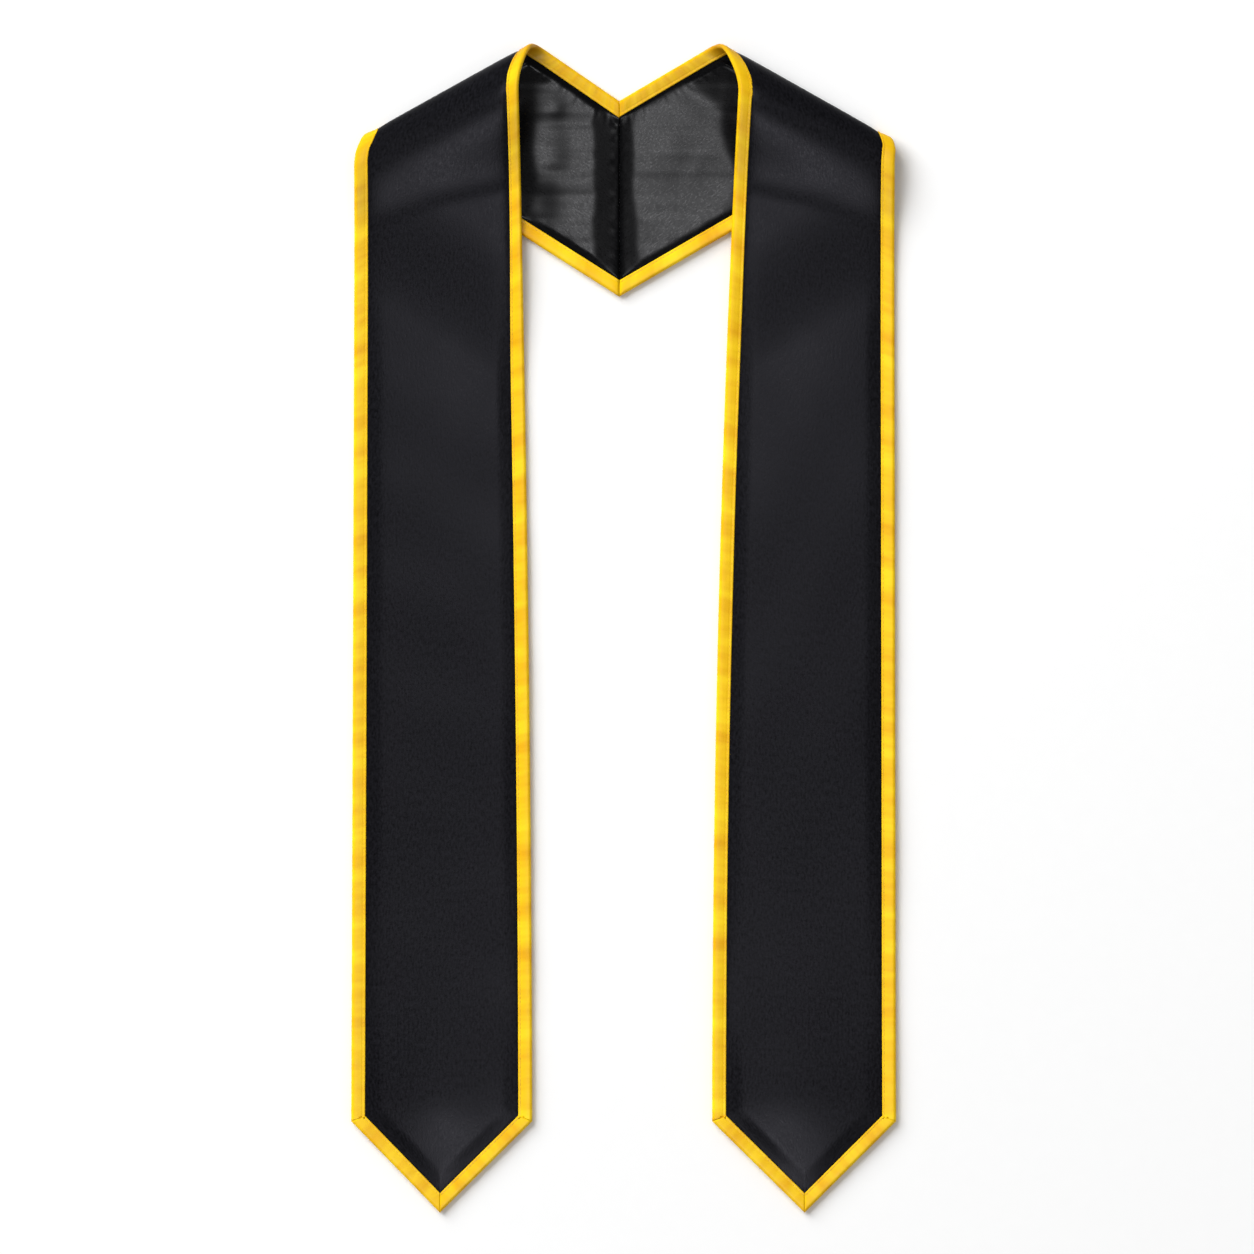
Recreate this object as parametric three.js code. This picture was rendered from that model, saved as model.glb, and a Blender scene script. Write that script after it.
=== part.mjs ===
// Graduation stole laid on a flat surface, its front panels folded over the back at the shoulders.
// Millimetres, +X across the stole, +Y towards the neck, +Z up from the surface that it lies on.
// Each half is a pointed panel of two satin layers with a folded tape sewn round its edges.

import * as THREE from 'three';
import { LoftGeometry } from 'three/addons/geometries/LoftGeometry.js';

// Sizes of the stole: across both front panels, between the neck ends of the shoulder folds, from
// a fold to the corners, across a panel at the corners, from the corners to the tip, and the seam
const overallWidth = 370.4;
const neckGap = 124.7;
const frontLength = 733;
const panelWidth = 124;
const pointLength = 62.2;
const seamLength = 133;

// Cloth and tape
const clothThickness = 1;
const bindingThickness = 1;
const bindingWidth = 9.5;
const pieceGap = 0.3;

// Soft roll of each half at the shoulder, at its neck end and at its outer end: its height, its
// depth in from the fold line below and above, and the run over which the front falls from it
const neckFoldHeight = 26;
const neckFoldUnder = 11;
const neckFoldDepth = 17;
const outerFoldHeight = 11;
const outerFoldUnder = 7;
const outerFoldDepth = 8.5;
const neckFoldRun = 66;
const outerFoldRun = 48;

// Step of the front panel down past the back part that it lies on, and where it starts
const stepRun = 80;
const stepClear = 10;

// How each half lies. reach and width are its shares of the neck gap and of the overall width, and
// panel is its share of the panel width. The angles are slopes in degrees. The slips are how far
// the front has slid outwards along the fold, as shares of the panel width. bow is the power of
// the neck edge's curve, and point shifts the tip outwards as a share of the panel width.
const lays = [
  {
    name: 'left', side: -1, reach: 0.4635, width: 0.4923, panel: 0.993,
    neckAngle: 34.5, outerAngle: 32.3, shoulderAngle: 28.8,
    neckSlip: 0.18, outerSlip: 0.109, bow: 1.75, point: 0.01,
  },
  {
    name: 'right', side: 1, reach: 0.5365, width: 0.5077, panel: 1.009,
    neckAngle: 30.6, outerAngle: 30.1, shoulderAngle: 29.1,
    neckSlip: 0.212, outerSlip: 0.066, bow: 2, point: 0.003,
  },
];

// Rows of the surface over the back, round the roll, over the step and down the front, and steps
// across a panel between its tapes
const backRows = 4;
const foldRows = 12;
const stepRows = 18;
const frontRows = 8;
const panelSteps = 6;

// Share of the point at which the cloth in the tape is blunt, share of a slip at the fold's crest
// and the small bevel of the tape's folded edge
const bluntShare = 0.97;
const crestSlip = 0.1;
const tapeBevel = 0.4;

// Levels through the cloth, measured up and down from its middle surface
const layerInner = pieceGap / 2;
const layerOuter = layerInner + clothThickness;
const tapeInner = layerOuter + pieceGap;
const tapeOuter = tapeInner + bindingThickness;
const clothInset = bindingThickness + pieceGap;
const restHeight = tapeOuter;
const overlapLift = 2 * tapeOuter + pieceGap;

const satin = { color: '#26262b', roughness: 0.55, metalness: 0 };
const liningSatin = { color: '#17171a', roughness: 0.32, metalness: 0 };
const tapeSatin = { color: '#f7b90c', roughness: 0.45, metalness: 0 };

const radians = THREE.MathUtils.degToRad;
const lerp = THREE.MathUtils.lerp;
const smooth = (value) => THREE.MathUtils.smoothstep(value, 0, 1);
const plan = (x, y) => new THREE.Vector2(x, y);

// A half is worked out with x running outwards from the centre back seam and y up from the
// neck end of its shoulder fold, then mirrored to its side
function layHalf(lay) {
  const neckAngle = radians(lay.neckAngle);
  const outerAngle = radians(lay.outerAngle);
  const shoulderAngle = radians(lay.shoulderAngle);

  // Directions along the shoulder fold towards the neck, and across it towards the points
  const along = plan(-Math.cos(shoulderAngle), Math.sin(shoulderAngle));
  const across = plan(-Math.sin(shoulderAngle), -Math.cos(shoulderAngle));

  // Corners of the outline
  const neckCrest = plan(neckGap * lay.reach, 0);
  const seamTop = plan(0, -neckCrest.x * Math.tan(neckAngle));
  const seamFoot = plan(0, seamTop.y - seamLength);
  const shoulderRise = neckCrest.x * Math.tan(shoulderAngle);
  const outerReach = (shoulderRise - seamFoot.y) / (Math.tan(outerAngle) + Math.tan(shoulderAngle));
  const outerCrest = plan(outerReach, shoulderRise - outerReach * Math.tan(shoulderAngle));
  const outerCorner = plan(overallWidth * lay.width, -frontLength);
  const neckCorner = plan(outerCorner.x - panelWidth * lay.panel, -frontLength);
  const tip = outerCorner.clone().lerp(neckCorner, 0.5);
  tip.add(plan(panelWidth * lay.point, -pointLength));

  // One end of the shoulder roll: where its edge enters, how it turns and where it leaves
  const foldEnd = (crest, backAngle, under, depth, height, slip) => {
    const at = (u, p) => crest.clone().addScaledVector(along, u).addScaledVector(across, layerOuter + p);
    const entry = (layerOuter + under) / Math.tan(backAngle + shoulderAngle);
    const slide = entry + crestSlip * slip;
    const turn = (share) => {
      const angle = Math.PI * share;
      const upper = Math.max(2 * share - 1, 0);
      const u = lerp(entry - 2 * share * slide, -slip, upper ** 2);
      const place = at(u, (share < 0.5 ? under : depth) * (1 - Math.sin(angle)));
      return new THREE.Vector3(place.x, place.y, restHeight + (height / 2) * (1 - Math.cos(angle)));
    };
    return { entry: at(entry, under), exit: at(-slip, depth), turn };
  };
  const neckFold = foldEnd(
    neckCrest, neckAngle, neckFoldUnder, neckFoldDepth, neckFoldHeight, panelWidth * lay.neckSlip,
  );
  const outerFold = foldEnd(
    outerCrest, outerAngle, outerFoldUnder, outerFoldDepth, outerFoldHeight, panelWidth * lay.outerSlip,
  );

  // Height of the front panel: off the roll, over the back part, then down past its lower edge
  const pastBack = (place) => place.x * Math.sin(outerAngle)
    - (place.y - seamFoot.y) * Math.cos(outerAngle);
  const fallDepth = (place) => place.clone().sub(neckCrest).dot(across);
  const frontHeight = (place, w) => {
    const step = smooth((pastBack(place) - stepClear) / stepRun);
    const ground = restHeight + overlapLift * (1 - step);
    const depth = lerp(outerFoldDepth, neckFoldDepth, w);
    const run = lerp(outerFoldRun, neckFoldRun, w);
    const top = restHeight + lerp(outerFoldHeight, neckFoldHeight, w);
    return lerp(top, ground, smooth((fallDepth(place) - layerOuter - depth) / run));
  };

  // Long edges of the front panel by the share of the way from the roll to the corner
  const outerFront = (share) => outerFold.exit.clone().lerp(outerCorner, share);
  const neckFront = (share) => plan(
    lerp(neckCorner.x, neckFold.exit.x, (1 - share) ** lay.bow),
    lerp(neckFold.exit.y, neckCorner.y, share),
  );

  // Middle surface of the half: t runs 0 to 1 over the back, to 2 round the roll and to 3 down
  // the front, and w runs from the outer edge to the neck edge
  const middle = (t, w) => {
    if (t < 1) {
      const outerEdge = seamFoot.clone().lerp(outerFold.entry, t);
      const neckEdge = seamTop.clone().lerp(neckFold.entry, t);
      const place = outerEdge.lerp(neckEdge, w);
      return new THREE.Vector3(place.x, place.y, restHeight);
    }
    if (t < 2) {
      return outerFold.turn(t - 1).lerp(neckFold.turn(t - 1), w);
    }
    const place = outerFront(t - 2).lerp(neckFront(t - 2), w);
    return new THREE.Vector3(place.x, place.y, frontHeight(place, w));
  };

  // Slopes of the middle surface along and across, and its normal on the satin's side
  const nudge = 1e-4;
  const slopes = (t, w) => {
    const from = Math.min(Math.max(t - nudge, 0), 3 - 2 * nudge);
    const run = middle(from + 2 * nudge, w).sub(middle(from, w)).divideScalar(2 * nudge);
    const low = Math.min(Math.max(w - nudge, 0), 1 - 2 * nudge);
    const cross = middle(t, low + 2 * nudge).sub(middle(t, low)).divideScalar(2 * nudge);
    const normal = new THREE.Vector3().crossVectors(run, cross).normalize().negate();
    return { run, cross, normal };
  };

  // Share of a row that lies within a true distance of one of its edges
  const edgeShare = (t, w, distance) => {
    const { run, cross } = slopes(t, w);
    return distance * run.length() / new THREE.Vector3().crossVectors(run, cross).length();
  };

  // Point of the half at a level above or below the middle surface
  const place = (t, w, level) => middle(t, w).addScaledVector(slopes(t, w).normal, level);

  // Stations along the half, closer together round the roll and as far as the step's end
  const stepLength = (stepClear + stepRun - pastBack(neckFold.exit)) / Math.cos(outerAngle);
  const stepShare = stepLength / (neckFold.exit.y - neckCorner.y);
  const stations = [];
  for (let i = 0; i < backRows; i += 1) stations.push(i / backRows);
  for (let i = 0; i < foldRows; i += 1) stations.push(1 + i / foldRows);
  for (let i = 0; i < stepRows; i += 1) stations.push(2 + (stepShare * i) / stepRows);
  for (let i = 0; i <= frontRows; i += 1) stations.push(2 + lerp(stepShare, 1, i / frontRows));

  return { outerCorner, neckCorner, tip, outerFront, neckFront, slopes, edgeShare, place, stations };
}

// Tangent of half the angle by which an edge turns from one direction to the next
function halfTurn(before, after) {
  const cosine = before.clone().normalize().dot(after.clone().normalize());
  return Math.sqrt((1 - cosine) / (1 + cosine));
}

// Length by which the tape's end is set back at a depth in from the edge, for a mitre with a gap
function mitreSetback(turn, depth) {
  return depth * turn + (pieceGap / 2) * Math.hypot(1, turn);
}

// Section of the tape as depths in from the edge and levels about the middle surface
const tapeSection = [
  [tapeBevel, tapeOuter],
  [bindingWidth, tapeOuter],
  [bindingWidth, tapeInner],
  [bindingThickness, tapeInner],
  [bindingThickness, -tapeInner],
  [bindingWidth, -tapeInner],
  [bindingWidth, -tapeOuter],
  [tapeBevel, -tapeOuter],
  [0, tapeBevel - tapeOuter],
  [0, tapeOuter - tapeBevel],
].map(([depth, level]) => ({ depth, level }));

// Closed body through a run of sections, mirrored to its side of the seam
function loft(sections, side, facing) {
  const rings = sections.map((section) => {
    const ring = section.map((point) => new THREE.Vector3(point.x * side, point.y, point.z));
    return side * facing < 0 ? ring.reverse() : ring;
  });
  const geometry = new LoftGeometry(rings, { capStart: true, capEnd: true });
  geometry.deleteAttribute('uv');
  return geometry;
}

function piece(name, geometry, look) {
  const mesh = new THREE.Mesh(geometry, new THREE.MeshStandardMaterial(look));
  mesh.name = name;
  return mesh;
}

// One layer of cloth between two levels, from the centre back seam down to the blunted point
function clothLayer(half, lay, low, high) {
  const rim = (points) => {
    const upper = points.map(({ t, w }) => half.place(t, w, high));
    const lower = points.map(({ t, w }) => half.place(t, w, low)).reverse();
    return upper.concat(lower);
  };
  const sections = half.stations.slice(0, -1).map((t) => {
    const first = half.edgeShare(t, 0, bindingWidth);
    const last = 1 - half.edgeShare(t, 1, bindingWidth);
    const shares = [half.edgeShare(t, 0, clothInset)];
    for (let i = 0; i <= panelSteps; i += 1) shares.push(lerp(first, last, i / panelSteps));
    shares.push(1 - half.edgeShare(t, 1, clothInset));
    return rim(shares.map((w) => ({ t, w })));
  });
  for (const point of sections[0]) point.x += pieceGap / 2;

  // The flat point is set in by the same distance from its slanted edges
  const outerSlant = half.outerCorner.clone().sub(half.tip);
  const neckSlant = half.neckCorner.clone().sub(half.tip);
  const insetCorner = (corner, slant, towards) => {
    const back = clothInset * halfTurn(plan(0, 1), slant);
    return plan(corner.x + towards * clothInset, corner.y + back);
  };
  const outer = insetCorner(half.outerCorner, outerSlant, -1);
  const neck = insetCorner(half.neckCorner, neckSlant, 1);
  const tipAngle = neckSlant.angle() - outerSlant.angle();
  const tip = plan(half.tip.x, half.tip.y + clothInset / Math.sin(tipAngle / 2));
  for (const share of [0, bluntShare]) {
    const from = outer.clone().lerp(tip, share);
    const to = neck.clone().lerp(tip, share);
    const row = [];
    for (let i = 0; i <= panelSteps + 2; i += 1) {
      const spot = from.clone().lerp(to, i / (panelSteps + 2));
      row.push(new THREE.Vector3(spot.x, spot.y, restHeight + high));
    }
    const under = row.map((spot) => new THREE.Vector3(spot.x, spot.y, restHeight + low)).reverse();
    sections.push(row.concat(under));
  }
  return loft(sections, lay.side, 1);
}

// Tape wrapped round a long edge, from the seam to the mitre at the corner
function longBinding(half, lay, edge) {
  const outer = edge === 0;
  const front = outer ? half.outerFront : half.neckFront;
  const corner = outer ? half.outerCorner : half.neckCorner;
  const before = corner.clone().sub(front(1 - 1e-3));
  const turn = halfTurn(before, half.tip.clone().sub(corner));
  const length = before.length() / 1e-3;
  const last = half.stations.length - 1;
  const sections = half.stations.map((station, index) => tapeSection.map(({ depth, level }) => {
    const t = index === last ? station - mitreSetback(turn, depth) / length : station;
    const share = half.edgeShare(t, edge, depth);
    const spot = half.place(t, outer ? share : 1 - share, level);
    if (index === 0) spot.x += pieceGap / 2;
    return spot;
  }));
  return loft(sections, lay.side, outer ? 1 : -1);
}

// Tape wrapped round a slanted edge of the point, mitred at the corner and at the tip
function pointBinding(half, lay, corner, other, long, facing) {
  const slant = half.tip.clone().sub(corner);
  const before = corner.clone().sub(long(1 - 1e-3));
  const after = other.clone().sub(half.tip);
  const direction = slant.clone().normalize();
  const inward = plan(direction.y, -direction.x).multiplyScalar(facing);
  const section = (distance) => tapeSection.map(({ depth, level }) => {
    const spot = corner.clone().addScaledVector(direction, distance(depth)).addScaledVector(inward, depth);
    return new THREE.Vector3(spot.x, spot.y, restHeight + level);
  });
  return loft([
    section((depth) => mitreSetback(halfTurn(before, slant), depth)),
    section((depth) => slant.length() - mitreSetback(halfTurn(slant, after), depth)),
  ], lay.side, facing);
}

const group = new THREE.Group();
for (const lay of lays) {
  const half = layHalf(lay);
  const { outerCorner, neckCorner, outerFront, neckFront } = half;
  group.add(
    piece(`${lay.name}_face`, clothLayer(half, lay, layerInner, layerOuter), satin),
    piece(`${lay.name}_lining`, clothLayer(half, lay, -layerOuter, -layerInner), liningSatin),
    piece(`${lay.name}_outer_binding`, longBinding(half, lay, 0), tapeSatin),
    piece(`${lay.name}_neck_binding`, longBinding(half, lay, 1), tapeSatin),
    piece(
      `${lay.name}_point_outer_binding`,
      pointBinding(half, lay, outerCorner, neckCorner, outerFront, 1), tapeSatin,
    ),
    piece(
      `${lay.name}_point_inner_binding`,
      pointBinding(half, lay, neckCorner, outerCorner, neckFront, -1), tapeSatin,
    ),
  );
}

// The origin is the middle of the stole's outline, on the surface that it lies on
const bounds = new THREE.Box3().setFromObject(group);
const centre = bounds.getCenter(new THREE.Vector3());
group.position.set(-centre.x, -centre.y, -bounds.min.z);

export default group;
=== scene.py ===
# Graduation stole in black satin with yellow satin tape, laid flat with its front panels folded
# over the back at the shoulders. Metres, +X across, +Y towards the neck, +Z up from the surface.

import math
from collections import namedtuple

import bmesh
import bpy
import numpy as np
from bpy.props import FloatProperty, FloatVectorProperty, PointerProperty
from bpy.types import Operator, Panel, PropertyGroup
from mathutils import Matrix, Vector


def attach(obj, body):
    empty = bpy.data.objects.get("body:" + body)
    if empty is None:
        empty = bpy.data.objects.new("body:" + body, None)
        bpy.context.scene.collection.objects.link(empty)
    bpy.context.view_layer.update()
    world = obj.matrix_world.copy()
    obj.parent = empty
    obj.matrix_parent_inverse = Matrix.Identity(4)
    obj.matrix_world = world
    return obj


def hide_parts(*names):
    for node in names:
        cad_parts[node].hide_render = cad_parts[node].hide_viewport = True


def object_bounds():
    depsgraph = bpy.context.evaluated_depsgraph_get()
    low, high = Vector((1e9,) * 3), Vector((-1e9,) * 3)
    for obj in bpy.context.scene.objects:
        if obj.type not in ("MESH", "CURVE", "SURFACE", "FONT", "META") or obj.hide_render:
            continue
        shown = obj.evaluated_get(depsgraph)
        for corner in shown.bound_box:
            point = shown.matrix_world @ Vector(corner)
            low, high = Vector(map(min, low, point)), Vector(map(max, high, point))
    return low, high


bl_info = {
    "name": "Graduation stole",
    "version": (1, 0, 0),
    "blender": (4, 5, 0),
    "location": "View3D > Sidebar > Stole",
    "description": "Builds a satin graduation stole with bound edges, laid flat",
    "category": "Add Mesh",
}

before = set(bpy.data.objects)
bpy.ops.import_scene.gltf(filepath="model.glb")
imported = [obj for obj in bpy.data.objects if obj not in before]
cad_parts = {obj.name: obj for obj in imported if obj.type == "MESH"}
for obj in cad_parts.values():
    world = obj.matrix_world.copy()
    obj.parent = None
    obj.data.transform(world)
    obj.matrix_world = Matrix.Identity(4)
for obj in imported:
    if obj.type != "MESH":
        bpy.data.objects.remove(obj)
CAD_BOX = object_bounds()
MM = 0.001


def linear(code):
    """Linear RGBA of an sRGB hex colour."""
    parts = [int(code[i : i + 2], 16) / 255 for i in (1, 3, 5)]
    return [c / 12.92 if c <= 0.04045 else ((c + 0.055) / 1.055) ** 2.4 for c in parts] + [1.0]


# How each half lies. reach, width and panel are its shares of the neck gap, the overall width and
# the panel width. The angles are slopes in degrees, the slips are how far the front has slid
# outwards along the fold, bow is the power of the neck edge's curve and point shifts the tip.
# The lining rises from the centre seam at slope, up to ridge, and sinks under the front panel from
# free on, after a gentler lean. slim is how much narrower the neck tape shows where it turns over.
Lay = namedtuple(
    "Lay",
    "name side reach width panel neck_angle outer_angle shoulder_angle"
    " neck_slip outer_slip bow point ridge slope free lean slim",
)
LAYS = (
    Lay("left", -1, 0.4635, 0.4923, 0.993, 34.5, 32.3, 28.8, 0.18, 0.109, 1.75, 0.01,
        0.0175, 0.105, 0.058, 0.03, 0.16),
    Lay("right", 1, 0.5365, 0.5077, 1.009, 30.6, 30.1, 29.1, 0.212, 0.066, 2.0, 0.003,
        0.0095, 0.095, 0.0705, 0.0, 0.04),
)

# Soft hollows and swells of the lining in the back, in mm: out from the seam, up from the neck
# end of the shoulder fold, radius and height
HOLLOWS = {
    "left": (
        (43, -45, 6, -0.35), (45, -78, 11, -0.7), (57, -108, 12, -0.8), (30, -58, 13, 0.25),
        (34, -122, 16, 0.25), (57, -60, 9, 0.3), (22, -90, 9, -0.15),
    ),
    "right": (
        (48, -60, 20, 0.3), (66, -92, 12, -0.2), (30, -102, 16, 0.15), (60, -22, 14, -0.4),
        (22, -66, 8, -0.12), (48, -122, 12, -0.2),
    ),
}

# Soft waves of the whole stole off the surface: height, wavelength, direction and start in degrees
WAVES = (
    (0.00022, 0.21, 68, 20),
    (0.00018, 0.13, 115, 200),
    (0.00012, 0.083, 20, 75),
    (0.00010, 0.061, 152, 310),
)

# Broad swells of the front panels, in mm: out from the panel's middle, up from the tip, radius
# and height
SWELLS = {
    "left": ((6, 78, 42, 3.4), (-6, 280, 80, 1.5), (10, 440, 90, 1.0), (-14, 560, 60, 1.2)),
    "right": ((-8, 76, 42, 3.4), (6, 285, 80, 1.4), (-8, 430, 95, 1.1), (10, 575, 60, 1.2)),
}

# Painted shade on each tape where it turns under at the shoulder roll: the share of its darker
# painted colour, by t from the seam round the roll to the front
NECK_PAINTED_SHADE = ((0, 0.8, 1.0, 1.35, 1.6, 1.9, 2.15, 2.4), (0.3, 0.36, 0.5, 1.0, 0.7, 0.22, 0.08, 0))
OUTER_PAINTED_SHADE = ((0, 1.0, 1.3, 1.6, 1.95, 2.15), (0.05, 0.1, 0.5, 0.45, 0.3, 0))

# Rows of a cloth's grid over the back, round the shoulder roll, down the front and in the point
CLOTH_ROWS = (80, 44, 200, 26)
CLOTH_COLUMNS = 64
TAPE_ROWS = (90, 60, 330)
TAPE_COLUMNS = 26
POINT_TAPE_ROWS = 60

# The tape's fold: the share of its half width that is round, and how far in that reaches
FOLD_SHARE = 0.24
FOLD_DEPTH = 1.9 * MM

# Stitches run this far inside the tape's lip, with a gap between one and the next
STITCH_INSET = 1.45 * MM
STITCH_GAP = 0.55 * MM
STITCH_SIDES = (6, 4)

# Thickness of the drawn cloth, and how far its edge lies inside the folded tape
SATIN_THICKNESS = 0.35 * MM
LINING_THICKNESS = 0.3 * MM
TAPE_THICKNESS = 0.3 * MM
CLOTH_INSET = 1.4 * MM

# Places along the cloth, as shares of the reach, that are averaged to ease a bend, and their
# weights
EASE_STEPS = (-2, -1.33, -0.67, 0, 0.67, 1.33, 2)
EASE = np.exp(-0.5 * np.array(EASE_STEPS) ** 2)
EASE /= EASE.sum()


class StoleSizes(PropertyGroup):
    """Sizes and colours of the stole."""

    overall_width: FloatProperty(
        name="Overall width",
        description="Across both front panels at the corners",
        default=0.3704,
        unit="LENGTH",
    )
    neck_gap: FloatProperty(
        name="Neck gap",
        description="Between the neck ends of the shoulder folds",
        default=0.1247,
        unit="LENGTH",
    )
    front_length: FloatProperty(
        name="Front length",
        description="From the neck end of a shoulder fold to the corners",
        default=0.733,
        unit="LENGTH",
    )
    panel_width: FloatProperty(
        name="Panel width",
        description="Across a front panel at its corners",
        default=0.124,
        unit="LENGTH",
    )
    point_length: FloatProperty(
        name="Point length",
        description="From the corners to the tip",
        default=0.0622,
        unit="LENGTH",
    )
    seam_length: FloatProperty(
        name="Seam length",
        description="Along the centre back seam",
        default=0.133,
        unit="LENGTH",
    )
    tape_width: FloatProperty(
        name="Tape width",
        description="Of each side of the folded tape",
        default=0.0095,
        unit="LENGTH",
    )
    edge_thickness: FloatProperty(
        name="Edge thickness",
        description="Through the tape and the cloth inside it",
        default=0.0046,
        unit="LENGTH",
    )
    neck_roll_height: FloatProperty(
        name="Neck roll height",
        description="Height of the shoulder roll at its neck end",
        default=0.026,
        unit="LENGTH",
    )
    outer_roll_height: FloatProperty(
        name="Outer roll height",
        description="Height of the shoulder roll at its outer end",
        default=0.011,
        unit="LENGTH",
    )
    stitch_length: FloatProperty(
        name="Stitch length",
        description="Of one stitch along the tape",
        default=0.0024,
        unit="LENGTH",
    )
    satin_colour: FloatVectorProperty(
        name="Satin",
        description="Colour of the outer satin",
        default=linear("#0F0F12"),
        size=4,
        subtype="COLOR",
    )
    lining_colour: FloatVectorProperty(
        name="Lining",
        description="Colour of the lining satin",
        default=linear("#060607"),
        size=4,
        subtype="COLOR",
    )
    tape_colour: FloatVectorProperty(
        name="Tape",
        description="Colour of the satin tape and its thread",
        default=linear("#F3C400"),
        size=4,
        subtype="COLOR",
    )
    floor_colour: FloatVectorProperty(
        name="Floor",
        description="Colour of the surface under the stole",
        default=linear("#F4F4F4"),
        size=4,
        subtype="COLOR",
    )


def mix(start, end, share):
    return start + (end - start) * share


def smooth(value):
    value = np.clip(value, 0, 1)
    return value * value * (3 - 2 * value)


def column(values):
    return np.asarray(values, float).reshape(-1, 1)


def bend(value, soft):
    """0 below zero and the value itself above, with a soft bend between."""
    return soft * np.logaddexp(0, value / soft)


def unit(vector):
    return vector / np.linalg.norm(vector)


def half_turn(before, after):
    """Tangent of half the angle by which an edge turns from one direction to the next."""
    cosine = float(unit(before) @ unit(after))
    return math.sqrt((1 - cosine) / (1 + cosine))


class Roll:
    """One end of a shoulder roll: where its edge enters, how it turns and where it leaves."""

    def __init__(self, half, crest, angle, under, depth, height, slip):
        self.half, self.crest, self.under, self.depth = half, crest, under, depth
        self.height, self.slip = height, slip
        self.start = (half.skin + under) / math.tan(angle + half.shoulder)
        self.slide = self.start + 0.1 * slip
        self.entry = self.at(np.array([self.start]), np.array([under]))[0]
        self.exit = self.at(np.array([-slip]), np.array([depth]))[0]

    def at(self, along, across):
        half = self.half
        return self.crest + column(along) * half.along + column(across + half.skin) * half.across

    def turn(self, share):
        angle = np.pi * share
        upper = np.maximum(2 * share - 1, 0)
        along = mix(self.start - 2 * share * self.slide, -self.slip, upper**2)
        across = np.where(share < 0.5, self.under, self.depth) * (1 - np.sin(angle))
        lift = self.half.rest + self.height / 2 * (1 - np.cos(angle))
        return np.hstack([self.at(along, across), column(lift)])


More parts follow.
